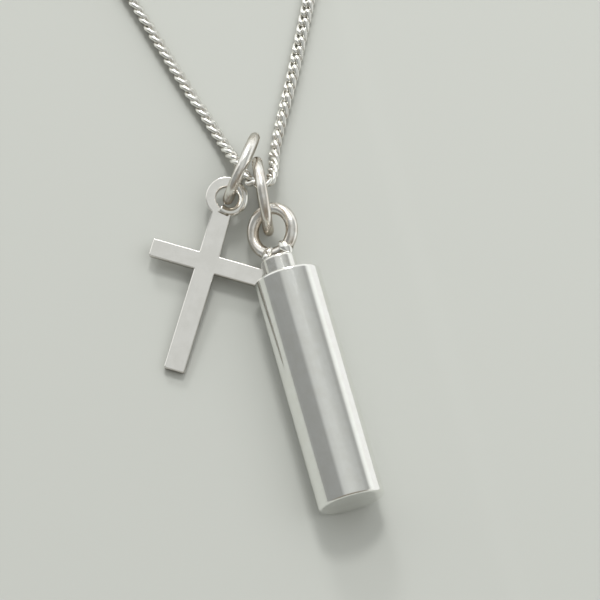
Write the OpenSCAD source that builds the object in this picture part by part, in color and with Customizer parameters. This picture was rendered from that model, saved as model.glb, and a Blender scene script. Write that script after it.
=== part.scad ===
// Keepsake urn pendant necklace, lying on a flat surface: a screw-top urn
// cylinder and a flat cross charm, each on its own jump ring, on a fine chain
// that closes in a clasp. Millimetres. +Z is up and +Y runs from the urn
// towards the clasp. The origin is under the middle of the whole necklace.

/* [Urn] */
// Outer diameter of the urn
urn_d = 8; // [7:0.1:9.5]
// Length of the urn from its rim to its foot
urn_len = 28.7; // [20:0.1:40]
// Thickness of the urn's side wall
urn_wall = 0.9; // [0.6:0.05:1.3]
// Thickness of the urn's closed foot
foot_wall = 1.2; // [0.8:0.1:3]
// Rounding of the edge round the foot
foot_round = 0.4; // [0.1:0.05:0.6]
// Rounding of the edge round the rim
rim_round = 0.2; // [0.1:0.05:0.6]
// Solid neck left below the end of the screw plug
neck_spare = 0.5; // [0.2:0.1:2]

/* [Screw cap] */
// Diameter of the collar that shows above the rim
collar_d = 4.2; // [3.6:0.1:5]
// Height of the collar
collar_h = 2.5; // [1.5:0.1:3]
// Rounding of the collar's upper edge
collar_round = 0.4; // [0.1:0.05:0.8]
// Diameter of the screw plug under the collar
plug_d = 3; // [2:0.1:3.4]
// Length of the screw plug
plug_len = 4; // [2:0.1:8]
// Clearance all round the plug in its bore
plug_fit = 0.05; // [0.02:0.01:0.1]
// Gap left under the collar when the cap is screwed down
seat_gap = 0.05; // [0.02:0.01:0.1]
// How far the cap's axis lies beside the urn's axis
cap_offset = 0.5; // [0:0.1:0.9]

/* [Bail] */
// Outer diameter of the ring soldered on the cap
bail_d = 6.9; // [6:0.1:8]
// Wire diameter of that ring
bail_wire = 1.45; // [1:0.05:1.5]
// How far the ring is rolled about the urn's axis
bail_roll = 33; // [20:1:45]
// Diameter of the solder seat between the collar and the ring
solder_d = 2.7; // [1.5:0.1:3.5]
// Height of the solder seat
solder_h = 0.6; // [0.3:0.1:1]
// Depth to which the ring is bedded in the collar
bail_sink = 0.1; // [0.05:0.05:0.3]
// How far the ring stands beside the cap's axis
bail_offset = 0.3; // [0:0.1:0.6]

/* [Jump rings] */
// Outer diameter of the jump ring that carries the urn
urn_ring_d = 9.6; // [8.6:0.1:10]
// Outer diameter of the jump ring that carries the cross
cross_ring_d = 9.3; // [8.4:0.1:10]
// Wire diameter of both jump rings
ring_wire = 1.25; // [1:0.05:1.4]

/* [Cross] */
// Distance from the foot of the cross to the middle of its eye
cross_len = 21.9; // [18:0.1:26]
// Distance from the middle of the eye down to the middle of the cross-arm
arm_drop = 8.3; // [7:0.1:10]
// Width of the cross-arm from tip to tip
cross_span = 13.9; // [10:0.1:16]
// Breadth of the upright
upright_w = 2.5; // [1.5:0.1:3.5]
// Breadth of the cross-arm
arm_w = 2.2; // [1.5:0.1:3]
// Thickness of the plate
cross_t = 1.1; // [0.8:0.1:1.5]
// Rounding of the corners of the arms
corner_r = 0.2; // [0.05:0.05:0.5]
// Outer diameter of the eye
eye_d = 5.1; // [4.4:0.1:5.2]
// Diameter of the hole in the eye
eye_hole = 2.7; // [2.4:0.1:3]

/* [Chain] */
// Diameter of the chain
chain_d = 1.4; // [1:0.1:1.5]
// Diameter of the clasp's barrel
clasp_d = 2.6; // [2:0.1:4]
// Length of the tapered shoulder at each end of the clasp
clasp_shoulder = 1.2; // [0.6:0.1:2]
// Depth of the seam round the middle of the clasp
clasp_seam = 0.15; // [0.1:0.05:0.4]
// Breadth of the lip round the chain at each end of the clasp
clasp_lip = 0.2; // [0.1:0.05:0.4]

/* [Hidden] */
$fn = 96;

// How the two jump rings stand: where, turned which way and leaning how far
cross_ring_at = [-1.9, 14];
cross_ring_turn = -38;
cross_ring_lean = -6.7;
urn_ring_at = [-0.36, 9.9];
urn_ring_turn = -6;
urn_ring_lean = 1.8;

// Slack of the bail in its ring, and how far the ring stands beside its middle
bail_slack = 1.3;
bail_side = 0.45;
// Where the ring's near end passes the middle of the eye, along and across it
eye_along = 0.65;
eye_across = -0.43;
// Clear gap under the raised eye, beside the tip of the cross-arm, and below the arm
eye_gap = 0.2;
tip_gap = 0.2;
arm_gap = 0.05;
// How far a cut runs past the faces that it opens
cut_past = 1;

// The chain's route, point by point, from one end of the clasp to the other
clasp_z = clasp_d / 2;
lie_z = chain_d / 2;
route = [
    [9, 199, clasp_z], [7, 199, clasp_z], [2, 197.8, lie_z], [-6, 195, lie_z],
    [-17, 188.5, lie_z], [-27, 178, lie_z], [-33.5, 165, lie_z], [-35.5, 150.5, lie_z],
    [-33.5, 136, lie_z], [-27.5, 111, lie_z], [-21, 86, lie_z], [-14, 59, lie_z],
    [-8.3, 38.2, lie_z], [-5.2, 26.8, lie_z], [-3.6, 21.5, lie_z], [-2.85, 18.7, 0.95],
    [-2.4, 16.9, 1.8], [-1.98, 15.4, 2.6], [-1.6, 14.1, 3.1], [-1.35, 13.1, 3.4],
    [-0.9, 12.3, 3.5], [-0.1, 11.95, 3.45], [0.7, 11.95, 3.2], [1.4, 12.5, 2.75],
    [1.87, 13.5, 2.1], [2.27, 14.6, 1.35], [2.85, 16.3, lie_z], [3.65, 18, lie_z],
    [7.6, 25.4, lie_z], [11.5, 33.1, lie_z], [22, 54.5, lie_z], [33, 77.5, lie_z],
    [44, 101, lie_z], [54.5, 123.5, lie_z], [60.2, 139, lie_z], [61.8, 154, lie_z],
    [58.5, 168.5, lie_z], [51, 181, lie_z], [40, 190.5, lie_z], [27, 196.5, lie_z],
    [22.5, 197.9, 1], [19.6, 199, clasp_z], [17.6, 199, clasp_z]];
apex = 21;
chain_sides = 8;
ring_step = 5.6 * chain_d;

// The chain's smooth path: a cubic through each pair of points
function gap_of(a, b) = norm(b - a);
function on_floor(p) = [p[0], p[1], max(p[2], lie_z)];
function slope_at(i) =
    i == 0 ? (route[1] - route[0]) / gap_of(route[0], route[1]) :
    i == len(route) - 1 ? (route[i] - route[i - 1]) / gap_of(route[i], route[i - 1]) :
    let (a = gap_of(route[i - 1], route[i]), b = gap_of(route[i], route[i + 1]))
    ((route[i] - route[i - 1]) / a * b + (route[i + 1] - route[i]) / b * a) / (a + b);
function cubic(i, t) =
    let (d = gap_of(route[i], route[i + 1]), s = t * t, c = s * t)
    on_floor((2 * c - 3 * s + 1) * route[i] + (c - 2 * s + t) * d * slope_at(i)
        + (3 * s - 2 * c) * route[i + 1] + (c - s) * d * slope_at(i + 1));
function cuts(i) = ceil(gap_of(route[i], route[i + 1]) / ring_step);
function path(from, to) = concat(
    [for (i = [from : to - 1], k = [0 : cuts(i) - 1]) cubic(i, k / cuts(i))],
    [route[to]]);
function unit(v) = v / norm(v);
function tube_ring(p, along) =
    let (side = unit(cross(along, [0, 0, 1])), up = cross(side, along))
    [for (k = [0 : chain_sides - 1]) let (a = 360 * k / chain_sides)
        p + chain_d / 2 * (cos(a) * side + sin(a) * up)];
function tube_points(pts, first, last) = [
    for (i = [0 : len(pts) - 1]) each tube_ring(pts[i],
        i == 0 ? first : i == len(pts) - 1 ? last : unit(pts[i + 1] - pts[i - 1]))];

left_path = path(0, apex);
right_path = path(apex, len(route) - 1);
apex_slope = unit(slope_at(apex));
left_tube = tube_points(left_path, unit(slope_at(0)), apex_slope);
right_tube = tube_points(right_path, apex_slope, unit(slope_at(len(route) - 1)));

// The jump rings stand on the surface, round the chain
function ring_r(d) = (d - ring_wire) / 2;
function ring_z(d, lean) = ring_r(d) * cos(lean) + ring_wire / 2;
function ring_run(turn) = [-sin(turn), cos(turn)];
function near_end(at, d, turn) = at - ring_r(d) * ring_run(turn);

// The eye of the cross lies round the near end of its ring, above the wire
cross_ring_z = ring_z(cross_ring_d, cross_ring_lean);
cross_ring_in = ring_r(cross_ring_d) - ring_wire / 2;
eye_at = near_end(cross_ring_at, cross_ring_d, cross_ring_turn)
    + eye_along * ring_run(cross_ring_turn)
    + eye_across * [cos(cross_ring_turn), sin(cross_ring_turn)];
eye_reach = ring_r(cross_ring_d) - eye_along - eye_hole / 2;
eye_lift = cross_ring_z + eye_gap - sqrt(pow(cross_ring_in, 2) - pow(eye_reach, 2));
cross_pitch = asin(eye_lift / (cross_len + eye_hole / 2));

// The urn hangs from the near end of its ring, by the bail
urn_ring_end = near_end(urn_ring_at, urn_ring_d, urn_ring_turn);
urn_z = urn_d / 2;
cap_x = urn_ring_end[0] + bail_side - bail_offset;
urn_x = cap_x + cap_offset;
bail_r = (bail_d - bail_wire) / 2;
bail_up = collar_h - bail_sink + bail_d / 2;
rim_y = urn_ring_end[1] + (ring_wire + bail_wire) / 2 + bail_slack - bail_r - bail_up;

// The tip of the cross-arm lies beside the collar, where the arm passes over the rim,
// or else beside the rim: both as wide as they are at the height of the arm
half_span = cross_span / 2;
arm_at = cross_len - arm_drop;
arm_top = (arm_drop - arm_w / 2) * cos(cross_pitch);
arm_low = (arm_drop + arm_w / 2) * cos(cross_pitch);
arm_z = (arm_at + arm_w / 2) * sin(cross_pitch) + cross_t * cos(cross_pitch);
function half_at(d, z) = sqrt(max(0, pow(d / 2, 2) - pow(urn_z - z, 2)));
collar_x = cap_x - half_at(collar_d, arm_z) - tip_gap - eye_at[0];
collar_turn = atan2(half_span, arm_top) - asin(collar_x / norm([arm_top, half_span]));
rim = [urn_x - half_at(urn_d, arm_z), rim_y] - eye_at;
rim_turn = asin((half_span + tip_gap) / norm(rim)) - atan2(rim[0], -rim[1]);
rim_below = -rim[0] * sin(collar_turn) - rim[1] * cos(collar_turn);
cross_turn = rim_below > arm_low + arm_gap ? collar_turn : max(collar_turn, rim_turn);

// The necklace is centred over its origin
all_x = [for (p = concat(left_tube, right_tube)) p[0]];
all_y = [for (p = concat(left_tube, right_tube)) p[1]];
mid_x = (min(all_x) + max(all_x)) / 2;
mid_y = (rim_y - urn_len + max(max(all_y), route[0][1] + clasp_d / 2)) / 2;

module placed() { translate([-mid_x, -mid_y, 0]) children(); }

module tube(points) {
    n = chain_sides;
    rows = len(points) / n;
    polyhedron(
        points = points,
        faces = concat(
            [[for (k = [n - 1 : -1 : 0]) k]],
            [[for (k = [0 : n - 1]) (rows - 1) * n + k]],
            [for (i = [0 : rows - 2], k = [0 : n - 1]) let (m = (k + 1) % n)
                [i * n + k, i * n + m, (i + 1) * n + m, (i + 1) * n + k]]),
        convexity = 10);
}

module wire_ring(d, wire) {
    rotate_extrude() translate([(d - wire) / 2, 0]) circle(d = wire);
}

module standing_ring(at, d, turn, lean) {
    translate([at[0], at[1], ring_z(d, lean)])
        rotate([0, 90 - lean, turn]) wire_ring(d, ring_wire);
}

// A disc's outline, turned about its axis, with its upper edge rounded
module rounded_post(r, h, round_r) {
    rotate_extrude() union() {
        square([r - round_r, h]);
        square([r, h - round_r]);
        translate([r - round_r, h - round_r]) circle(r = round_r);
    }
}

module rounded_bar(w, l) {
    for (sx = [-1, 1], sy = [-1, 1])
        translate([sx * (w / 2 - corner_r), sy * (l / 2 - corner_r)]) circle(r = corner_r);
    square([w - 2 * corner_r, l], center = true);
    square([w, l - 2 * corner_r], center = true);
}

// Two necklace halves, which meet face to face between the jump rings
module chain_left() { color("gainsboro") placed() tube(left_tube); }

module chain_right() { color("lightgray") placed() tube(right_tube); }

// A plain barrel clasp between the two ends of the chain
module clasp() {
    start = route[0];
    end = route[len(route) - 1];
    long = norm(end - start);
    r = clasp_d / 2;
    end_r = chain_d / 2 + clasp_lip;
    color("silver") placed() translate(start) rotate([0, 90, 0]) rotate_extrude()
        polygon([[0, 0], [end_r, 0], [r, clasp_shoulder],
            [r, long / 2 - clasp_seam], [r - clasp_seam, long / 2],
            [r, long / 2 + clasp_seam], [r, long - clasp_shoulder],
            [end_r, long], [0, long]]);
}

module cross_jump_ring() {
    color("silver") placed()
        standing_ring(cross_ring_at, cross_ring_d, cross_ring_turn, cross_ring_lean);
}

module urn_jump_ring() {
    color("silver") placed()
        standing_ring(urn_ring_at, urn_ring_d, urn_ring_turn, urn_ring_lean);
}

// The flat cross and its eye, cut from one plate
module cross_charm() {
    upright = cross_len - eye_hole / 2 - (eye_d - eye_hole) / 4;
    color("silver") placed() translate([eye_at[0], eye_at[1], 0])
        rotate([0, 0, -cross_turn])
        translate([0, -cross_len * cos(cross_pitch), 0])
        rotate([cross_pitch, 0, 0])
        linear_extrude(cross_t) difference() {
            union() {
                translate([0, upright / 2]) rounded_bar(upright_w, upright);
                translate([0, arm_at]) rounded_bar(cross_span, arm_w);
                translate([0, cross_len]) circle(d = eye_d);
            }
            translate([0, cross_len]) circle(d = eye_hole);
        }
}

// The screw cap: plug, collar, solder seat and soldered ring in one
module urn_cap() {
    color("silver") placed() translate([cap_x, rim_y, urn_z]) {
        rotate([-90, 0, 0]) {
            translate([0, 0, seat_gap])
                rounded_post(collar_d / 2, collar_h - seat_gap, collar_round);
            translate([0, 0, -plug_len]) cylinder(d = plug_d, h = plug_len + collar_h / 2);
            translate([bail_offset, 0, collar_h / 2])
                cylinder(d = solder_d, h = collar_h / 2 + solder_h);
        }
        translate([bail_offset, bail_up, 0]) rotate([0, -bail_roll, 0]) wire_ring(bail_d, bail_wire);
    }
}

// The urn itself: a closed tube with a bore for the plug in its solid neck
module urn_vessel() {
    r = urn_d / 2;
    neck = plug_len + neck_spare;
    color("silver") placed() translate([urn_x, rim_y, urn_z]) rotate([90, 0, 0])
        difference() {
            rotate_extrude() union() {
                translate([0, rim_round]) square([r, urn_len - rim_round - foot_round]);
                square([r - rim_round, urn_len / 2]);
                translate([0, urn_len / 2]) square([r - foot_round, urn_len / 2]);
                translate([r - rim_round, rim_round]) circle(r = rim_round);
                translate([r - foot_round, urn_len - foot_round]) circle(r = foot_round);
            }
            translate([0, 0, neck])
                cylinder(r = r - urn_wall, h = urn_len - neck - foot_wall);
            translate([-cap_offset, 0, -cut_past])
                cylinder(d = plug_d + 2 * plug_fit, h = neck + 2 * cut_past);
        }
}

chain_left();
chain_right();
clasp();
cross_jump_ring();
urn_jump_ring();
cross_charm();
urn_cap();
urn_vessel();
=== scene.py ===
"""Looks of a keepsake urn necklace: a screw-top silver urn and a flat cross, each on a
jump ring on one curb chain, lying on a pale floor. Lengths are millimetres, turned into
metres where a mesh or an object is made."""
import math
import random

import bpy
import numpy as np
from mathutils import Matrix, Vector
from mathutils.geometry import tessellate_polygon


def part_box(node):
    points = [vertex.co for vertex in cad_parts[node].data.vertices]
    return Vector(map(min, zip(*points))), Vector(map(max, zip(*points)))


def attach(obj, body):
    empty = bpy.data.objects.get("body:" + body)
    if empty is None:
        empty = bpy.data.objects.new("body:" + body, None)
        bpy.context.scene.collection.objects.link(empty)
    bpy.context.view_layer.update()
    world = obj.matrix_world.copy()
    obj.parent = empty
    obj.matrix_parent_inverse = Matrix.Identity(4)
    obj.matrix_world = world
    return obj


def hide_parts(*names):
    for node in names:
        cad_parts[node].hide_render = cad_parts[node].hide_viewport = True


MM = 0.001

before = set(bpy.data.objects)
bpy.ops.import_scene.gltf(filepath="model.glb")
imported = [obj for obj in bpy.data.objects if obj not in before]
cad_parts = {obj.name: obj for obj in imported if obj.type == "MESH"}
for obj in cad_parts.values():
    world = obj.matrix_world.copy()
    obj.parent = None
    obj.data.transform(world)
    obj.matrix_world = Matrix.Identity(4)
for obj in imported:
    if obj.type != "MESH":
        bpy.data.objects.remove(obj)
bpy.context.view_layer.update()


def box_mm(node):
    """Lowest and highest corner of a CAD node, in millimetres."""
    low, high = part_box(node)
    return np.array(low) / MM, np.array(high) / MM


# Sizes that the solids carry, read from the frame
urn_low, urn_high = box_mm("urn_vessel")
clasp_low, clasp_high = box_mm("clasp")
URN_R = (urn_high[0] - urn_low[0]) / 2
URN_X = (urn_high[0] + urn_low[0]) / 2
URN_Z = (urn_high[2] + urn_low[2]) / 2
RIM_Y = urn_high[1]
URN_LEN = urn_high[1] - urn_low[1]

# Sizes of the screw cap and its bail
CAP_OFFSET = 0.5
CAP_X = URN_X - CAP_OFFSET
COLLAR_R = 2.1
COLLAR_H = 2.5
COLLAR_ROUND = 0.4
SEAT_GAP = 0.05
PLUG_R = 1.5
PLUG_LEN = 4
BORE_R = 1.55
THREAD_PITCH = 0.6
THREAD_DEPTH = 0.22
THREAD_FADE = 0.3
BAIL_D = 6.9
BAIL_WIRE = 1.45
BAIL_R = (BAIL_D - BAIL_WIRE) / 2
BAIL_ROLL = 33
BAIL_SINK = 0.1
BAIL_OFFSET = 0.3
BAIL_UP = COLLAR_H - BAIL_SINK + BAIL_D / 2

# The solder's two feet: their places across the collar from -1 to 1, and their spread
FOOT_LEFT = -0.62
FOOT_RIGHT = 0.74
FOOT_SPREAD = 0.28

# Sizes of the jump rings and where they stand, in the route's own axes
RING_WIRE = 1.25
URN_RING = {"at": (-0.36, 9.9), "d": 9.6, "turn": -6, "lean": 1.8}
CROSS_RING = {"at": (-1.9, 14), "d": 9.3, "turn": -38, "lean": -6.7}

# Sizes of the cross
CROSS_LEN = 21.9
ARM_DROP = 8.3
ARM_AT = CROSS_LEN - ARM_DROP
CROSS_SPAN = 13.9
UPRIGHT_W = 2.5
ARM_W = 2.2
CROSS_T = 1.1
EYE_D = 5.1
EYE_HOLE = 2.7
# Where the ring passes the middle of the eye, along and across it, and the clear gaps
# under the raised eye and beside the tip of the cross-arm
EYE_ALONG = 0.65
EYE_ACROSS = -0.43
EYE_GAP = 0.2
TIP_GAP = 0.2
# The cross's bevels, the wire on the eye's right side and the degrees that it spans
BEVEL = 0.14
HOLE_BEVEL = 0.08
EYE_WIRE = 0.6
EYE_WIRE_FROM = -106
EYE_WIRE_TO = 82

# Sizes of the curb chain
CHAIN_WIDTH = 1.72
LINK_WIRE = 0.6
LINK_PITCH = 1.23
LINK_TWIST = -66
CLASP_Z = 1.3
LIE_Z = 0.7
APEX = 21
ROUTE = [
    (9, 199, CLASP_Z), (7, 199, CLASP_Z), (2, 197.8, LIE_Z), (-6, 195, LIE_Z),
    (-17, 188.5, LIE_Z), (-27, 178, LIE_Z), (-33.5, 165, LIE_Z), (-35.5, 150.5, LIE_Z),
    (-33.5, 136, LIE_Z), (-27.5, 111, LIE_Z), (-21, 86, LIE_Z), (-14, 59, LIE_Z),
    (-8.3, 38.2, LIE_Z), (-5.2, 26.8, LIE_Z), (-3.6, 21.5, LIE_Z), (-2.85, 18.7, 0.95),
    (-2.4, 16.9, 1.8), (-1.98, 15.4, 2.6), (-1.6, 14.1, 3.1), (-1.35, 13.1, 3.4),
    (-0.9, 12.3, 3.5), (-0.1, 11.95, 3.45), (0.7, 11.95, 3.2), (1.4, 12.5, 2.75),
    (1.87, 13.5, 2.1), (2.27, 14.6, 1.35), (2.85, 16.3, LIE_Z), (3.65, 18, LIE_Z),
    (7.6, 25.4, LIE_Z), (11.5, 33.1, LIE_Z), (22, 54.5, LIE_Z), (33, 77.5, LIE_Z),
    (44, 101, LIE_Z), (54.5, 123.5, LIE_Z), (60.2, 139, LIE_Z), (61.8, 154, LIE_Z),
    (58.5, 168.5, LIE_Z), (51, 181, LIE_Z), (40, 190.5, LIE_Z), (27, 196.5, LIE_Z),
    (22.5, 197.9, 1), (19.6, 199, CLASP_Z), (17.6, 199, CLASP_Z)]

# From the route's axes to the frame's: the clasp begins at the route's first point
CLASP_MID = (clasp_low + clasp_high) / 2
SHIFT = np.array([clasp_low[0] - ROUTE[0][0], CLASP_MID[1] - ROUTE[0][1], 0])

# The photograph's view: its height, its turn, its scale and where the rim's middle falls
VIEW_HEIGHT = math.radians(73)
VIEW_TURN = math.radians(15.43)
PX_PER_MM = 8.45
FRAME_PX = 600
RIM_PX = (287, 276)
CAMERA_FAR = 500
SENSOR = 36

# The main lamp and the spot that every lamp is turned to, in metres
KEY_AT = (0.11, 0.34, 0.655)
LIT_SPOT = (-0.01, -0.09, 0)


# Camera
def add_camera():
    right = Vector((math.cos(VIEW_TURN), -math.sin(VIEW_TURN), 0))
    ahead = Vector((math.sin(VIEW_TURN), math.cos(VIEW_TURN), 0))
    up = math.sin(VIEW_HEIGHT) * ahead + Vector((0, 0, math.cos(VIEW_HEIGHT)))
    back = Vector((0, 0, math.sin(VIEW_HEIGHT))) - math.cos(VIEW_HEIGHT) * ahead
    half = FRAME_PX / 2
    aim = Vector((URN_X, RIM_Y, URN_Z))
    aim += right * (half - RIM_PX[0]) / PX_PER_MM
    aim += up * (RIM_PX[1] - half) / PX_PER_MM
    data = bpy.data.cameras.new("camera")
    data.sensor_width = SENSOR
    data.lens = SENSOR * CAMERA_FAR * PX_PER_MM / FRAME_PX
    data.clip_start = 0.01
    data.clip_end = 20
    camera = bpy.data.objects.new("camera", data)
    bpy.context.scene.collection.objects.link(camera)
    turned = Matrix((right, up, back)).transposed().to_4x4()
    camera.matrix_world = Matrix.Translation((aim + back * CAMERA_FAR) * MM) @ turned
    bpy.context.scene.camera = camera


add_camera()


# Mesh helpers
def add_mesh(name, points, faces, material, body, node=None, sharp=35):
    """Makes a shaded piece from points in millimetres, which rides on a body."""
    mesh = bpy.data.meshes.new(name)
    mesh.from_pydata((np.asarray(points, float) * MM).tolist(), [], faces)
    mesh.validate()
    mesh.shade_smooth()
    mesh.set_sharp_from_angle(angle=math.radians(sharp))
    mesh.materials.append(material)
    piece = bpy.data.objects.new(name, mesh)
    bpy.context.scene.collection.objects.link(piece)
    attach(piece, body)
    if node:
        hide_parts(node)
    return piece


def grid_faces(rows, columns, closed_rows=False):
    """Quads between rows of points, each row a closed ring."""
    faces = []
    for i in range(rows if closed_rows else rows - 1):
        a, b = i * columns, (i + 1) % rows * columns
        for k in range(columns):
            m = (k + 1) % columns
            faces.append((a + k, a + m, b + m, b + k))
    return faces


def arc(cx, cy, r, start, end, steps):
    """Points on an arc, as (radius, height) pairs."""
    angles = np.radians(np.linspace(start, end, steps + 1))
    return [(cx + r * math.cos(a), cy + r * math.sin(a)) for a in angles]


def lathe(profile, columns):
    """Rings about the height axis for each (radius, height, sideways shift)."""
    turn = np.linspace(0, 2 * math.pi, columns, endpoint=False)
    rings = []
    for r, h, side in profile:
        rings.append(np.c_[side + r * np.cos(turn), np.full(columns, h), r * np.sin(turn)])
    return np.concatenate(rings)


GROOVE_DEPTH = 0.05
GROOVE_WIDTH = 0.045


def torus(major, minor, around, section, groove_at):
    """A wire ring in the XY plane; a fine groove shows where its ends were closed."""
    rings = []
    for u in np.linspace(0, 2 * math.pi, around, endpoint=False):
        away = abs((u - groove_at + math.pi) % (2 * math.pi) - math.pi) * major
        r = minor - GROOVE_DEPTH * math.exp(-(away / GROOVE_WIDTH) ** 2)
        v = np.linspace(0, 2 * math.pi, section, endpoint=False)
        out = major + r * np.cos(v)
        rings.append(np.c_[out * math.cos(u), out * math.sin(u), r * np.sin(v)])
    return np.concatenate(rings), grid_faces(around, section, closed_rows=True)


def turned(points, *turns):
    """Points turned about the given axes in turn, each an (axis, degrees) pair."""
    m = Matrix.Identity(3)
    for axis, degrees in turns:
        m = Matrix.Rotation(math.radians(degrees), 3, axis) @ m
    return points @ np.array(m).T


# Materials
# Colour of the painted shade that darkens metal where it turns down
UNDERSIDE_SHADE_TINT = (0.6, 0.56, 0.51)


def new_material(name):
    material = bpy.data.materials.new(name)
    material.use_nodes = True
    nodes = material.node_tree.nodes
    return material, nodes, material.node_tree.links, nodes["Principled BSDF"]


def add_node(nodes, kind, **values):
    node = nodes.new(kind)
    for key, value in values.items():
        if key in node.inputs:
            node.inputs[key].default_value = value
        else:
            setattr(node, key, value)
    return node


def stretched(nodes, links, scale):
    """Object coordinates in millimetres, stretched so that a pattern runs one way."""
    place = add_node(nodes, "ShaderNodeTexCoord")
    mapping = add_node(nodes, "ShaderNodeMapping", Scale=[1000 * s for s in scale])
    links.new(place.outputs["Object"], mapping.inputs["Vector"])
    return mapping.outputs["Vector"]


def noise(nodes, links, scale, detail=3, rough=0.5):
    texture = add_node(nodes, "ShaderNodeTexNoise", Scale=1, Detail=detail, Roughness=rough)
    links.new(stretched(nodes, links, scale), texture.inputs["Vector"])
    return texture.outputs["Fac"]


def mapped(nodes, links, value, low, high, to_low, to_high):
    node = add_node(nodes, "ShaderNodeMapRange")
    node.inputs["From Min"].default_value = low
    node.inputs["From Max"].default_value = high
    node.inputs["To Min"].default_value = to_low
    node.inputs["To Max"].default_value = to_high
    links.new(value, node.inputs["Value"])
    return node.outputs["Result"]


def silver(name, tint, dark, rough, scratches, dents, scratch_depth=0.0006,
           dent_depth=0.004, dirt=(0.4, 0.62), under=None, edge=(1, 1, 1)):
    """Polished silver: fine one-way scratches, soft dents, haze and a faint warm tarnish.
    Under gives the slopes between which metal that turns down takes painted shade, and how
    much of the tint it keeps there; edge tints what it mirrors at a low angle."""
    material, nodes, links, shader = new_material(name)
    shader.inputs["Metallic"].default_value = 1
    shader.inputs["Specular Tint"].default_value = (*edge, 1)
    haze = noise(nodes, links, (0.6, 0.6, 0.6), 4, 0.6)
    grain = noise(nodes, links, scratches, 2, 0.6)
    swell = noise(nodes, links, dents, 1, 0.4)
    mix = add_node(nodes, "ShaderNodeMix", data_type="RGBA")
    mix.inputs["A"].default_value = (*tint, 1)
    mix.inputs["B"].default_value = (*dark, 1)
    links.new(mapped(nodes, links, haze, *dirt, 0, 1), mix.inputs["Factor"])
    colour = mix.outputs["Result"]
    # Painted shade: the colour darkens where the surface's normal turns down
    if under:
        place = add_node(nodes, "ShaderNodeTexCoord")
        split = add_node(nodes, "ShaderNodeSeparateXYZ")
        links.new(place.outputs["Normal"], split.inputs[0])
        low, high, share = under
        shade = add_node(nodes, "ShaderNodeMix", data_type="RGBA", blend_type="MULTIPLY")
        shade.inputs["B"].default_value = (*(share * c for c in UNDERSIDE_SHADE_TINT), 1)
        links.new(colour, shade.inputs["A"])
        slope = mapped(nodes, links, split.outputs["Z"], low, high, 1, 0)
        links.new(slope, shade.inputs["Factor"])
        colour = shade.outputs["Result"]
    links.new(colour, shader.inputs["Base Color"])
    links.new(mapped(nodes, links, grain, 0.3, 0.7, *rough), shader.inputs["Roughness"])
    fine = add_node(nodes, "ShaderNodeBump", Strength=1, Distance=scratch_depth * MM)
    links.new(grain, fine.inputs["Height"])
    wide = add_node(nodes, "ShaderNodeBump", Strength=1, Distance=dent_depth * MM)
    links.new(swell, wide.inputs["Height"])
    links.new(fine.outputs["Normal"], wide.inputs["Normal"])
    links.new(wide.outputs["Normal"], shader.inputs["Normal"])
    return material


# Ring, solder, cross and chain silver take painted shade on their down-turned sides (under)
URN_SILVER = silver("urn_silver", (0.93, 0.935, 0.915), (0.9, 0.9, 0.87), (0.07, 0.13),
                    (9, 0.25, 9), (0.25, 0.05, 0.25))
CAP_SILVER = silver("cap_silver", (0.92, 0.92, 0.895), (0.85, 0.84, 0.8), (0.09, 0.16),
                    (3, 12, 3), (0.5, 0.5, 0.5))
RING_SILVER = silver("ring_silver", (0.92, 0.91, 0.88), (0.8, 0.76, 0.7), (0.16, 0.27),
                     (5, 5, 5), (0.45, 0.45, 0.45), dent_depth=0.012,
                     under=(-0.05, 0.5, 1.2), edge=(0.55, 0.52, 0.48))
# Dark colour: painted shade in the recess under the bail's wire, and the eye's dark solder seam
DARK_SOLDER_AND_SHADE_SILVER = silver("dark_solder_and_painted_shade", (0.4, 0.37, 0.31), (0.22, 0.2, 0.15), (0.25, 0.45),
                       (4, 4, 4), (1.6, 1.6, 1.6), scratch_depth=0.002, dent_depth=0.05,
                       dirt=(0.42, 0.55), under=(0, 0.7, 0.9))
CROSS_SILVER = silver("cross_silver", (0.98, 0.965, 0.94), (0.94, 0.925, 0.895), (0.1, 0.2),
                      (0.5, 7, 7), (0.18, 0.18, 0.18), dent_depth=0.008, under=(0, 0.45, 0.9))
CHAIN_SILVER = silver("chain_silver", (0.95, 0.95, 0.92), (0.86, 0.85, 0.81), (0.12, 0.22),
                      (6, 6, 6), (1, 1, 1), under=(-0.2, 0.35, 1.1), edge=(0.7, 0.68, 0.65))


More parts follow.
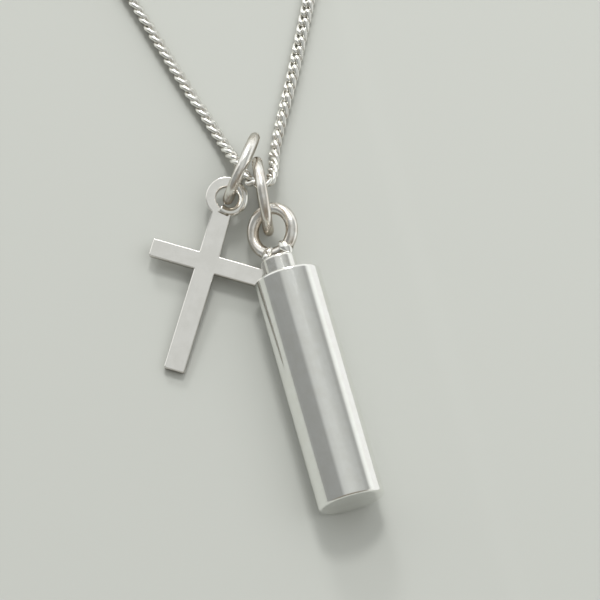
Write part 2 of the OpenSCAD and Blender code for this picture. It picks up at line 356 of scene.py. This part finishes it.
# The urn: one closed surface round its wall, its threaded bore and its hollow
def add_urn():
    columns = 160
    wall, foot_wall, neck = 0.9, 1.2, 4.5
    rim_round, foot_round, chamfer = 0.3, 0.4, 0.15
    foot_step, rim_step = 0.15, 0.1
    foot = -URN_LEN
    profile = [(0.001, foot, 0)]
    profile += [(r, foot, 0) for r in np.linspace(0.4, URN_R - foot_round - foot_step, 6)]
    low_edge = arc(URN_R - foot_round, foot + foot_round, foot_round, -90, 0, 8)
    profile += [(r, h, 0) for r, h in low_edge]
    wall_from, wall_to = foot + foot_round + foot_step, -rim_round - rim_step
    profile += [(URN_R, h, 0) for h in np.linspace(wall_from, wall_to, 24)]
    profile += [(r, h, 0) for r, h in arc(URN_R - rim_round, -rim_round, rim_round, 0, 90, 6)]
    profile += [(URN_R - rim_round - rim_step, 0, -0.02)]
    profile += [(BORE_R + chamfer + rim_step, 0, -CAP_OFFSET)]
    profile += [(BORE_R + chamfer, 0, -CAP_OFFSET)]
    threads = [(BORE_R, h, -CAP_OFFSET) for h in np.linspace(-chamfer, -neck, 80)]
    first_thread = len(profile)
    profile += threads
    inner = URN_R - wall
    profile += [(inner, -neck, 0), (inner, foot + foot_wall, 0), (0.001, foot + foot_wall, 0)]
    points = lathe(profile, columns)
    # The female thread is cut outwards from the bore
    turn = np.linspace(0, 2 * math.pi, columns, endpoint=False)
    for i, (r, h, side) in enumerate(threads):
        fade = min(1, (-chamfer - h) / THREAD_FADE) * min(1, (neck + h) / THREAD_FADE)
        r_here = r + thread_depth(h, turn, 0) * fade
        ring = slice((first_thread + i) * columns, (first_thread + i + 1) * columns)
        points[ring, 0] = side + r_here * np.cos(turn)
        points[ring, 2] = r_here * np.sin(turn)
    points += [URN_X, RIM_Y, URN_Z]
    faces = [f[::-1] for f in grid_faces(len(profile), columns)]
    return add_mesh("urn_body", points, faces, URN_SILVER, "vessel", "urn_vessel", 40)


def thread_depth(h, turn, lead):
    """Depth of a V thread at a height and a turn: 0 at the crest."""
    phase = (h / THREAD_PITCH - turn / (2 * math.pi) + lead) % 1
    return THREAD_DEPTH * (1 - np.abs(2 * phase - 1))


# The cap: a collar with a threaded plug
def add_collar():
    columns, seat_round, plug_step = 144, 0.08, 0.15
    seat_edge = arc(COLLAR_R - seat_round, SEAT_GAP + seat_round, seat_round, -90, 0, 4)
    top = COLLAR_H - COLLAR_ROUND
    profile = [(r, h, 0) for r, h in seat_edge]
    profile += [(COLLAR_R, h, 0) for h in np.linspace(SEAT_GAP + 0.2, top - 0.05, 8)]
    profile += [(r, h, 0) for r, h in arc(COLLAR_R - COLLAR_ROUND, top, COLLAR_ROUND, 0, 90, 10)]
    profile += [(r, COLLAR_H, 0) for r in (1.4, 1, 0.5, 0.001)]
    low = [(0.001, -PLUG_LEN, 0), (PLUG_R - 0.3, -PLUG_LEN, 0)]
    plug = [(PLUG_R, h, 0) for h in np.linspace(-PLUG_LEN + plug_step, -0.05, 120)]
    neck = [(PLUG_R - 0.12, SEAT_GAP, 0), (COLLAR_R - 0.2, SEAT_GAP, 0)]
    whole = low + plug + neck + profile
    points = lathe(whole, columns)
    turn = np.linspace(0, 2 * math.pi, columns, endpoint=False)
    for i, (r, h, _) in enumerate(plug):
        fade = min(1, (h + PLUG_LEN - plug_step) / THREAD_FADE)
        r_here = r - THREAD_DEPTH * (1 - fade) - thread_depth(h, turn, 0.5) * fade
        ring = slice((len(low) + i) * columns, (len(low) + i + 1) * columns)
        points[ring, 0] = r_here * np.cos(turn)
        points[ring, 2] = r_here * np.sin(turn)
    points += [CAP_X, RIM_Y, URN_Z]
    faces = [f[::-1] for f in grid_faces(len(whole), columns)]
    return add_mesh("screw_cap", points, faces, CAP_SILVER, "necklace", "urn_cap", 30)


def bail_point(u, v, r):
    """A point on the bail's wire: u along the ring from its lowest point, v round the wire
    from the side that faces the collar."""
    out = np.array([np.sin(u), -np.cos(u), 0])
    p = BAIL_R * out + r * (np.cos(v) * out + np.sin(v) * np.array([0, 0, 1]))
    return turned(p[None], ("Y", -BAIL_ROLL))[0] + [BAIL_OFFSET, BAIL_UP, 0]


def add_bail():
    points, faces = torus(BAIL_R, BAIL_WIRE / 2, 144, 32, math.radians(62))
    points = turned(points, ("Y", -BAIL_ROLL)) + [CAP_X + BAIL_OFFSET, RIM_Y + BAIL_UP, URN_Z]
    return add_mesh("bail_ring", points, faces, RING_SILVER, "necklace", None, 60)


# The solder: two small hand-made feet that flare down to the collar, and a film that creeps
# over the wire in the recess between them; its dark colour is painted shade of the recess
def add_solder():
    columns, low_rows, high_rows = 96, 12, 8
    rng = random.Random(4)
    waves = [(k, rng.uniform(-1, 1), rng.uniform(0, 2 * math.pi)) for k in (2, 3, 5, 7)]
    rings = [[] for _ in range(low_rows + high_rows + 1)]
    for k in range(columns):
        a = 2 * math.pi * k / columns
        c, side = math.cos(a), math.sin(a)
        lump = sum(w * math.sin(n * a + p) for n, w, p in waves) / 4
        left = math.exp(-((c - FOOT_LEFT) / FOOT_SPREAD) ** 2)
        right = math.exp(-((c - FOOT_RIGHT) / FOOT_SPREAD) ** 2)
        full = min(1, left + right)
        open_by = 0.5 + 0.6 * full
        creep = 1.15 + 0.05 * left - 0.15 * right
        skin = BAIL_WIRE / 2 + 0.02 + 0.12 * full + 0.03 * lump
        foot = np.array([1.68 * c, COLLAR_H - 0.03, open_by * side])
        foot *= [1 + 0.05 * lump, 1, 1 + 0.12 * lump]
        foot = turned(foot[None], ("Y", -BAIL_ROLL))[0] + [0.2, 0, 0]
        join = bail_point(0.64 * c, side * open_by, skin)
        knee = np.array([join[0] * 0.9 + 0.02, COLLAR_H + 0.05, join[2] * 0.9])
        for j in range(low_rows):
            t = j / low_rows
            rings[j].append((1 - t) ** 2 * foot + 2 * t * (1 - t) * knee + t * t * join)
        for j in range(high_rows + 1):
            t = j / high_rows
            r = skin + (BAIL_WIRE / 2 - 0.03 - skin) * t ** 2
            rings[low_rows + j].append(bail_point(0.64 * c, side * (open_by + creep * t), r))
    points = np.concatenate(rings) + [CAP_X, RIM_Y, URN_Z]
    top = len(points) - columns
    faces = [f[::-1] for f in grid_faces(len(rings), columns)]
    faces.append(tuple(range(columns)))
    faces.append(tuple(range(top + columns - 1, top - 1, -1)))
    return add_mesh("solder_seat", points, faces, DARK_SOLDER_AND_SHADE_SILVER, "necklace", None, 70)


def bead(path, radii, waves, steps=40, section=20):
    """A lumpy closed bead of solder along a Bezier curve."""
    degree = len(path) - 1
    t = np.linspace(0, 1, steps)[:, None]
    terms = [math.comb(degree, k) * t ** k * (1 - t) ** (degree - k) for k in range(degree + 1)]
    share = np.hstack(terms)
    line, size = share @ np.array(path), share @ np.array(radii)
    size *= np.sqrt(1 - np.clip(1 - np.minimum(t, 1 - t) / 0.16, 0, 0.999) ** 2)[:, 0]
    ahead = np.gradient(line, axis=0)
    ahead /= np.linalg.norm(ahead, axis=1)[:, None]
    rings = []
    for k in range(steps):
        side = np.cross(ahead[k], [0.3, 0.2, 1])
        side /= np.linalg.norm(side)
        v = np.linspace(0, 2 * math.pi, section, endpoint=False)
        r = size[k] * (1 + sum(w * np.sin(n * v + q + 0.22 * k) for n, w, q in waves) / 16)
        over = np.cross(ahead[k], side)
        rings.append(line[k] + r[:, None] * (np.cos(v)[:, None] * side + np.sin(v)[:, None] * over))
    faces = grid_faces(steps, section) + [tuple(range(section - 1, -1, -1))]
    faces.append(tuple(range((steps - 1) * section, steps * section)))
    return np.concatenate(rings), faces


# Two bright beads of solder: where each begins on the collar, its side, its place round
# the bail and its radii from the collar to the wire's far side
BEADS = (
    (-1.4, -1, 0.36, (0.46, 0.66, 0.7, 0.62, 0.46)),
    (1.35, 1, 0.44, (0.5, 0.66, 0.66, 0.6, 0.46)),
)


def add_beads():
    rng = random.Random(9)
    waves = [(k, rng.uniform(-1, 1), rng.uniform(0, 2 * math.pi)) for k in (1, 2, 3)]
    points, faces, first = [], [], 0
    for x, side, u, radii in BEADS:
        path = [(x, COLLAR_H - 0.2, 0.7), (x + 0.1, COLLAR_H + 0.3, 0.75 + 0.15 * side)]
        for d, v in ((0.08, 45), (0, 100), (-0.06, 165)):
            path.append(bail_point(side * (u + d), math.radians(v), BAIL_WIRE / 2))
        body, skin = bead(path, radii, waves)
        points.append(body)
        faces += [tuple(first + k for k in face) for face in skin]
        first += len(body)
    points = np.concatenate(points) + [CAP_X, RIM_Y, URN_Z]
    return add_mesh("solder_beads", points, faces, CAP_SILVER, "necklace")


# Jump rings
def add_jump_ring(name, node, ring, groove):
    major = (ring["d"] - RING_WIRE) / 2
    points, faces = torus(major, RING_WIRE / 2, 168, 32, math.radians(groove))
    height = major * math.cos(math.radians(ring["lean"])) + RING_WIRE / 2
    points = turned(points, ("Y", 90 - ring["lean"]), ("Z", ring["turn"]))
    points += SHIFT + [*ring["at"], height]
    return add_mesh(name, points, faces, RING_SILVER, "necklace", node, 60)


# The cross: a bevelled plate with a cast eye, which lies round the near end of its ring
def cross_stand():
    """Middle of the eye in plan, the pitch that lifts it over the ring's wire, and the
    turn that lays the tip of the cross-arm beside the collar."""
    turn = math.radians(CROSS_RING["turn"])
    run = np.array([-math.sin(turn), math.cos(turn)])
    across = np.array([math.cos(turn), math.sin(turn)])
    r = (CROSS_RING["d"] - RING_WIRE) / 2
    eye = np.array(CROSS_RING["at"]) + (EYE_ALONG - r) * run + EYE_ACROSS * across
    ring_z = r * math.cos(math.radians(CROSS_RING["lean"])) + RING_WIRE / 2
    reach = r - EYE_ALONG - EYE_HOLE / 2
    lift = ring_z + EYE_GAP - math.sqrt((r - RING_WIRE / 2) ** 2 - reach ** 2)
    pitch = math.asin(lift / (CROSS_LEN + EYE_HOLE / 2))
    arm_z = (ARM_AT + ARM_W / 2) * math.sin(pitch) + CROSS_T * math.cos(pitch)
    half_collar = math.sqrt(COLLAR_R ** 2 - (URN_Z - arm_z) ** 2)
    collar_x = CAP_X - SHIFT[0] - half_collar - TIP_GAP - eye[0]
    arm_top = (ARM_DROP - ARM_W / 2) * math.cos(pitch)
    half_span = CROSS_SPAN / 2
    swing = math.atan2(half_span, arm_top) - math.asin(collar_x / math.hypot(arm_top, half_span))
    return eye, math.degrees(pitch), math.degrees(swing)


EYE_AT, CROSS_PITCH, CROSS_TURN = cross_stand()


def cross_frame(points):
    """From the cross's own axes, X across and Y up from its foot, to the frame's."""
    points = turned(points, ("X", CROSS_PITCH))
    points = points + [0, -CROSS_LEN * math.cos(math.radians(CROSS_PITCH)), 0]
    return turned(points, ("Z", -CROSS_TURN)) + SHIFT + [*EYE_AT, 0]


def round_corner(before, corner, after, r, steps=5):
    """Points of a rounded corner between two straight edges at right angles."""
    a = (np.array(before) - corner) / np.linalg.norm(np.array(before) - corner)
    b = (np.array(after) - corner) / np.linalg.norm(np.array(after) - corner)
    centre = np.array(corner) + (a + b) * r
    turns = np.linspace(0, math.pi / 2, steps + 1)
    return [centre - r * (a * math.sin(t) + b * math.cos(t)) for t in turns]


def slimming(u):
    """How much narrower the eye's plate is on its right, where a round wire wraps it."""
    return 0.17 * (1 + math.tanh(3.2 * math.cos(u + math.radians(15))))


def cross_outline():
    """Plan of the plate, from its foot up and round the eye, and of the hole. The last of
    the corners on each side gives way to the eye."""
    w, arm, half = UPRIGHT_W / 2, ARM_W / 2, CROSS_SPAN / 2
    corners = [(w, 0), (w, ARM_AT - arm), (half, ARM_AT - arm), (half, ARM_AT + arm),
               (w, ARM_AT + arm), (w, CROSS_LEN)]
    corners += [(-x, y) for x, y in corners[::-1]]
    radii = [0.28, 0.1, 0.3, 0.3, 0.1, None]
    radii += radii[::-1]
    shoulder = math.pi / 2 - math.asin(2 * w / EYE_D)
    eye_turns = np.linspace(-shoulder, math.pi + shoulder, 73)
    eye = [(EYE_D / 2 - slimming(u), u) for u in eye_turns]
    outline = []
    for i, corner in enumerate(corners):
        if radii[i]:
            after = corners[(i + 1) % len(corners)]
            outline += round_corner(corners[i - 1], corner, after, radii[i])
        elif radii[i - 1]:
            outline += [(r * math.cos(u), CROSS_LEN + r * math.sin(u)) for r, u in eye]
    hole_turns = np.linspace(2 * math.pi, 0, 72, endpoint=False)
    hole = [(EYE_HOLE / 2 + slimming(u), u) for u in hole_turns]
    hole = [(r * math.cos(u), CROSS_LEN + r * math.sin(u)) for r, u in hole]
    return np.array(outline), np.array(hole)


def offset_outline(outline, inset):
    """The outline moved inwards by a small inset."""
    ahead = np.roll(outline, -1, 0) - np.roll(outline, 1, 0)
    ahead /= np.linalg.norm(ahead, axis=1)[:, None]
    return outline + inset * np.c_[-ahead[:, 1], ahead[:, 0]]


def add_cross():
    loops, points, faces, first = cross_outline(), [], [], 0
    for outline, edge in zip(loops, (BEVEL, HOLE_BEVEL)):
        rings = []
        for base, angles in ((edge, (-90, 0)), (CROSS_T - edge, (0, 90))):
            for angle in np.radians(np.linspace(*angles, 5)):
                flat = offset_outline(outline, edge * (1 - math.cos(angle)))
                rings.append(np.c_[flat, np.full(len(flat), base + edge * math.sin(angle))])
        points.append(np.concatenate(rings))
        faces += [tuple(first + k for k in face) for face in grid_faces(len(rings), len(outline))]
        first += len(points[-1])
    # Both faces are filled between the outline and the hole
    whole = np.concatenate(points)
    for under in (True, False):
        rims, index, start = [], [], 0
        for outline, body in zip(loops, points):
            at = start + (0 if under else len(body) - len(outline))
            rims.append([Vector(p) for p in whole[at:at + len(outline)]])
            index += range(at, at + len(outline))
            start += len(body)
        for tri in tessellate_polygon(rims):
            a, b, c = (index[k] for k in tri)
            up = np.cross(whole[b] - whole[a], whole[c] - whole[a])[2] > 0
            faces.append((a, b, c) if up != under else (a, c, b))
    plate = add_mesh("cross_plate", cross_frame(whole), faces, CROSS_SILVER, "necklace",
                     "cross_charm", 50)
    for face in plate.data.polygons:
        face.use_smooth = len(face.vertices) > 3


# The eye's right side: a round wire, whose lower end is soldered down on the plate
def add_eye():
    around, section = 96, 32
    rings = []
    for u in np.radians(np.linspace(EYE_WIRE_FROM, EYE_WIRE_TO, around)):
        low = math.exp(-((math.degrees(u) + 98) / 36) ** 2)
        from_end = (math.degrees(u) - EYE_WIRE_FROM) / 7
        from_end = min(from_end, (EYE_WIRE_TO - math.degrees(u)) / 16)
        r = (EYE_WIRE + 0.04 * low) * math.sqrt(1 - max(0, 1 - from_end) ** 2 * 0.999)
        major = (EYE_D + EYE_HOLE) / 4 - 0.38 * low
        v = np.linspace(0, 2 * math.pi, section, endpoint=False)
        out = major + r * np.cos(v)
        height = CROSS_T / 2 + 0.05 + 0.1 * low + r * np.sin(v)
        rings.append(np.c_[out * math.cos(u), CROSS_LEN + out * math.sin(u), height])
    faces = grid_faces(around, section)
    faces.append(tuple(range(section - 1, -1, -1)))
    faces.append(tuple(range((around - 1) * section, around * section)))
    points = cross_frame(np.concatenate(rings))
    return add_mesh("cross_eye", points, faces, CAP_SILVER, "necklace", None, 60)


# A dark seam of solder along the foot of the eye's wire, which ends in a small blob
def add_eye_solder():
    path = []
    for degrees, r in ((-106, 2.02), (-93, 2.1), (-80, 2.12), (-67, 2.2)):
        u = math.radians(degrees)
        path.append((r * math.cos(u), CROSS_LEN + r * math.sin(u), CROSS_T - 0.02))
    waves = [(1, 0.8, 0.4), (2, 0.9, 1.7), (3, 0.6, 4)]
    points, faces = bead(path, (0.05, 0.08, 0.08, 0.24), waves)
    return add_mesh("eye_solder", cross_frame(points), faces, DARK_SOLDER_AND_SHADE_SILVER, "necklace")


# The chain's route: a cubic through each pair of points, kept on the floor
def smooth_route():
    """The route as close points, and where each of its chosen points falls among them."""
    pts = np.array(ROUTE, float)
    steps = np.linalg.norm(np.diff(pts, axis=0), axis=1)
    slopes = np.empty_like(pts)
    slopes[0] = (pts[1] - pts[0]) / steps[0]
    slopes[-1] = (pts[-1] - pts[-2]) / steps[-1]
    for i in range(1, len(pts) - 1):
        a, b = steps[i - 1], steps[i]
        slopes[i] = ((pts[i] - pts[i - 1]) / a * b + (pts[i + 1] - pts[i]) / b * a) / (a + b)
    line, marks = [], []
    for i, d in enumerate(steps):
        marks.append(len(line))
        for t in np.arange(0, 1, 0.02 if d > 4 else 0.05):
            s, c = t * t, t ** 3
            p = (2 * c - 3 * s + 1) * pts[i] + (c - 2 * s + t) * d * slopes[i]
            p = p + (3 * s - 2 * c) * pts[i + 1] + (c - s) * d * slopes[i + 1]
            p[2] = max(p[2], LIE_Z)
            line.append(p)
    line.append(pts[-1])
    return np.array(line), marks


def link_shape(along=26, section=8):
    """One curb link about its middle: an oval of wire whose two ends are twisted apart."""
    half_len = (LINK_PITCH + LINK_WIRE * 1.12) / 2
    half_wide = (CHAIN_WIDTH - LINK_WIRE) / 2
    t = np.linspace(0, 2 * math.pi, along, endpoint=False)
    x = half_len * np.sign(np.cos(t)) * np.abs(np.cos(t)) ** 0.8
    y = half_wide * np.sign(np.sin(t)) * np.abs(np.sin(t)) ** 0.72
    twist = math.radians(LINK_TWIST) * np.cos(t)
    line = np.c_[x, y * np.cos(twist), y * np.sin(twist)]
    ahead = np.roll(line, -1, 0) - np.roll(line, 1, 0)
    ahead /= np.linalg.norm(ahead, axis=1)[:, None]
    out = line - (line * ahead).sum(1)[:, None] * ahead
    out /= np.linalg.norm(out, axis=1)[:, None]
    side = np.cross(ahead, out)
    rings = []
    for k in range(along):
        v = np.linspace(0, 2 * math.pi, section, endpoint=False)
        round_wire = np.cos(v)[:, None] * out[k] + np.sin(v)[:, None] * side[k]
        rings.append(line[k] + LINK_WIRE / 2 * round_wire)
    return np.concatenate(rings), grid_faces(along, section, closed_rows=True)


def roll_at(s, left):
    """How far the chain is rolled about its own line, in degrees, s from the apex."""
    if left:
        return 114 - 27 * math.exp(-(s / 2.5) ** 2) + 6 * math.sin(s / 8)
    return 172 - 54 * math.exp(-(s / 15) ** 4) + 4 * math.sin(s / 11 + 3)


def add_chain(name, node, line, left, seed):
    """Interlocked links laid at even steps along one half of the route."""
    rng = random.Random(seed)
    far = np.r_[0, np.cumsum(np.linalg.norm(np.diff(line, axis=0), axis=1))]
    count = round(far[-1] / LINK_PITCH)
    shape, faces = link_shape()
    points, all_faces = [], []
    for i in range(count):
        s = (i + 0.5) * far[-1] / count
        at = np.array([np.interp(s, far, line[:, k]) for k in range(3)])
        a = np.array([np.interp(s - 0.4, far, line[:, k]) for k in range(3)])
        b = np.array([np.interp(s + 0.4, far, line[:, k]) for k in range(3)])
        ahead = (b - a) / np.linalg.norm(b - a)
        side = np.cross([0, 0, 1], ahead)
        side /= np.linalg.norm(side)
        up = np.cross(ahead, side)
        from_apex = far[-1] - s if left else s
        roll = math.radians(roll_at(from_apex, left) + rng.uniform(-4, 4))
        half_high = abs(shape[:, 1] * math.sin(roll) + shape[:, 2] * math.cos(roll)).max()
        at[2] += (half_high - LIE_Z) * max(0, 1 - (at[2] - LIE_Z) / 0.6)
        y_axis = math.cos(roll) * side + math.sin(roll) * up
        z_axis = np.cross(ahead, y_axis)
        placed = at + SHIFT + shape @ np.array([ahead, y_axis, z_axis])
        first = i * len(shape)
        points.append(placed)
        all_faces += [tuple(first + k for k in face) for face in faces]
    return add_mesh(name, np.concatenate(points), all_faces, CHAIN_SILVER, "necklace", node, 80)


# The clasp: a turned barrel with a groove near each end and one round its middle, and a hollow at
# each end
def add_clasp():
    columns = 96
    long = clasp_high[0] - clasp_low[0]
    r, lip, bore = 1.3, 0.9, 0.62
    half = [(0.001, 1.1, 0), (bore, 1.1, 0), (bore, 0.1, 0), (bore + 0.1, 0, 0)]
    half += [(lip - 0.1, 0, 0), (lip, 0.12, 0)]
    half += [(lip + (r - lip) * t, 0.15 + 1.05 * t ** 0.8, 0) for t in np.linspace(0.1, 1, 6)]
    half += [(r - 0.02, 1.5, 0), (r - 0.14, 1.56, 0), (r - 0.14, 1.72, 0), (r - 0.02, 1.78, 0)]
    half += [(r, h, 0) for h in np.linspace(1.9, long / 2 - 0.2, 5)]
    half += [(r - 0.04, long / 2 - 0.08, 0), (r - 0.15, long / 2 - 0.02, 0)]
    profile = half + [(a, long - h, c) for a, h, c in half[::-1]]
    points = lathe(profile, columns)
    points = np.c_[points[:, 1], points[:, 0], points[:, 2]]
    points += [clasp_low[0], CLASP_MID[1], CLASP_MID[2]]
    faces = grid_faces(len(profile), columns)
    return add_mesh("clasp_barrel", points, faces, CAP_SILVER, "necklace", "clasp", 30)


# Stage: pale floor, lights and the world that the silver mirrors
def add_staged(name, corners, material):
    """A flat sheet between four corners, in metres, which is part of the stage."""
    mesh = bpy.data.meshes.new(name)
    mesh.from_pydata(corners, [], [(0, 1, 2, 3)])
    mesh.materials.append(material)
    sheet = bpy.data.objects.new(name, mesh)
    bpy.context.scene.collection.objects.link(sheet)
    return sheet


def add_floor():
    material, _, _, shader = new_material("floor_pale")
    shader.inputs["Roughness"].default_value = 0.6
    shader.inputs["Specular IOR Level"].default_value = 0.2
    shader.inputs["Base Color"].default_value = (0.545, 0.56, 0.53, 1)
    half, drop = 4, 0.00002
    corners = [(-half, -half, 0), (half, -half, 0), (half, half, 0), (-half, half, 0)]
    add_staged("floor", corners, material).location = (0, 0, -drop)


def add_light(name, place, size, power, colour, glossy, diffuse=True):
    """A lamp turned to the lit spot, seen in the silver or on matt surfaces or in both."""
    data = bpy.data.lights.new(name, "AREA")
    data.shape = "RECTANGLE"
    data.size, data.size_y = size
    data.energy = power
    data.color = colour
    light = bpy.data.objects.new(name, data)
    bpy.context.scene.collection.objects.link(light)
    light.location = place
    light.rotation_mode = "QUATERNION"
    light.rotation_quaternion = (Vector(LIT_SPOT) - Vector(place)).to_track_quat("-Z", "Y")
    light.visible_camera = False
    light.visible_glossy = glossy
    light.visible_diffuse = diffuse


def add_card(name, corners, strength):
    """A white reflector that only the silver sees, between corners in millimetres."""
    material = bpy.data.materials.new(name)
    material.use_nodes = True
    nodes = material.node_tree.nodes
    nodes.clear()
    glow = add_node(nodes, "ShaderNodeEmission", Color=(1, 1, 0.98, 1), Strength=strength)
    out = add_node(nodes, "ShaderNodeOutputMaterial")
    material.node_tree.links.new(glow.outputs[0], out.inputs["Surface"])
    card = add_staged(name, [Vector(c) * MM for c in corners], material)
    card.visible_camera = card.visible_diffuse = card.visible_shadow = False


# The world's brightness from the left horizon, 0, over the zenith, 0.5, to the right, 1
WORLD_STOPS = [
    (0, 0.34), (0.06, 0.3), (0.34, 0.31), (0.4, 0.56), (0.5, 0.61), (0.6, 0.59), (0.68, 0.53),
    (0.78, 0.46), (0.82, 0.39), (0.865, 0.39), (0.895, 0.75), (0.94, 0.98), (1, 1)]
WORLD_TINT = (0.985, 1, 0.965)
# Its bright far side and its dim, warm near side: where each begins and is full along Y,
# how much of it is mixed in, and its colour
WORLD_SIDES = ((0.31, 0.4, 0.7, (1.2, 1.2, 1.17)), (-0.5, -0.85, 1, (0.26, 0.23, 0.19)))


def add_world():
    """Studio surroundings, by direction: a light ceiling, a dim left wall, a bright low
    window on the right and a dim, warm side towards the viewer."""
    world = bpy.data.worlds.new("studio")
    bpy.context.scene.world = world
    world.use_nodes = True
    nodes, links = world.node_tree.nodes, world.node_tree.links
    nodes.clear()
    out = add_node(nodes, "ShaderNodeOutputWorld")
    background = add_node(nodes, "ShaderNodeBackground")
    links.new(background.outputs[0], out.inputs["Surface"])
    place = add_node(nodes, "ShaderNodeTexCoord")
    split = add_node(nodes, "ShaderNodeSeparateXYZ")
    links.new(place.outputs["Generated"], split.inputs[0])
    tilt = add_node(nodes, "ShaderNodeMath", operation="ARCTAN2")
    links.new(split.outputs["X"], tilt.inputs[0])
    links.new(split.outputs["Z"], tilt.inputs[1])
    across = mapped(nodes, links, tilt.outputs[0], -math.pi / 2, math.pi / 2, 0, 1)
    bands = add_node(nodes, "ShaderNodeValToRGB")
    links.new(across, bands.inputs["Fac"])
    ramp = bands.color_ramp
    for at, value in WORLD_STOPS:
        element = ramp.elements[-1 if at else 0] if at in (0, 1) else ramp.elements.new(at)
        element.color = (*(value * c for c in WORLD_TINT), 1)
    colour = bands.outputs["Color"]
    for start, end, share, side in WORLD_SIDES:
        mix = add_node(nodes, "ShaderNodeMix", data_type="RGBA")
        mix.inputs["B"].default_value = (*side, 1)
        links.new(colour, mix.inputs["A"])
        factor = mapped(nodes, links, split.outputs["Y"], start, end, 0, share)
        links.new(factor, mix.inputs["Factor"])
        colour = mix.outputs["Result"]
    links.new(colour, background.inputs["Color"])


add_urn()
add_collar()
add_bail()
add_solder()
add_beads()
add_jump_ring("urn_ring", "urn_jump_ring", URN_RING, 205)
add_jump_ring("cross_ring", "cross_jump_ring", CROSS_RING, 190)
add_cross()
add_eye()
add_eye_solder()
route_line, route_marks = smooth_route()
add_chain("chain_left_links", "chain_left", route_line[:route_marks[APEX] + 1], True, 11)
add_chain("chain_right_links", "chain_right", route_line[route_marks[APEX]:], False, 12)
add_clasp()
add_floor()
add_world()
card_x, card_y, card_z = (URN_X + 15, URN_X + 70), (RIM_Y - 60, RIM_Y + 40), (0.3, 8)
add_card("card_right", [(card_x[0], card_y[0], card_z[0]), (card_x[1], card_y[0], card_z[1]),
                        (card_x[1], card_y[1], card_z[1]), (card_x[0], card_y[1], card_z[0])], 0.93)
add_light("key", KEY_AT, (0.14, 0.14), 1.7, (1, 0.99, 0.97), False)
add_light("sheen", KEY_AT, (0.3, 0.3), 1.1, (1, 1, 1), True, False)
add_light("fill", (0.3, -0.1, 0.5), (0.5, 0.5), 0.8, (1, 1, 1), False)
add_light("glint", (0.02, 0.5, 0.35), (0.16, 0.1), 1, (1, 1, 1), True)
bpy.context.scene.view_settings.view_transform = "Standard"
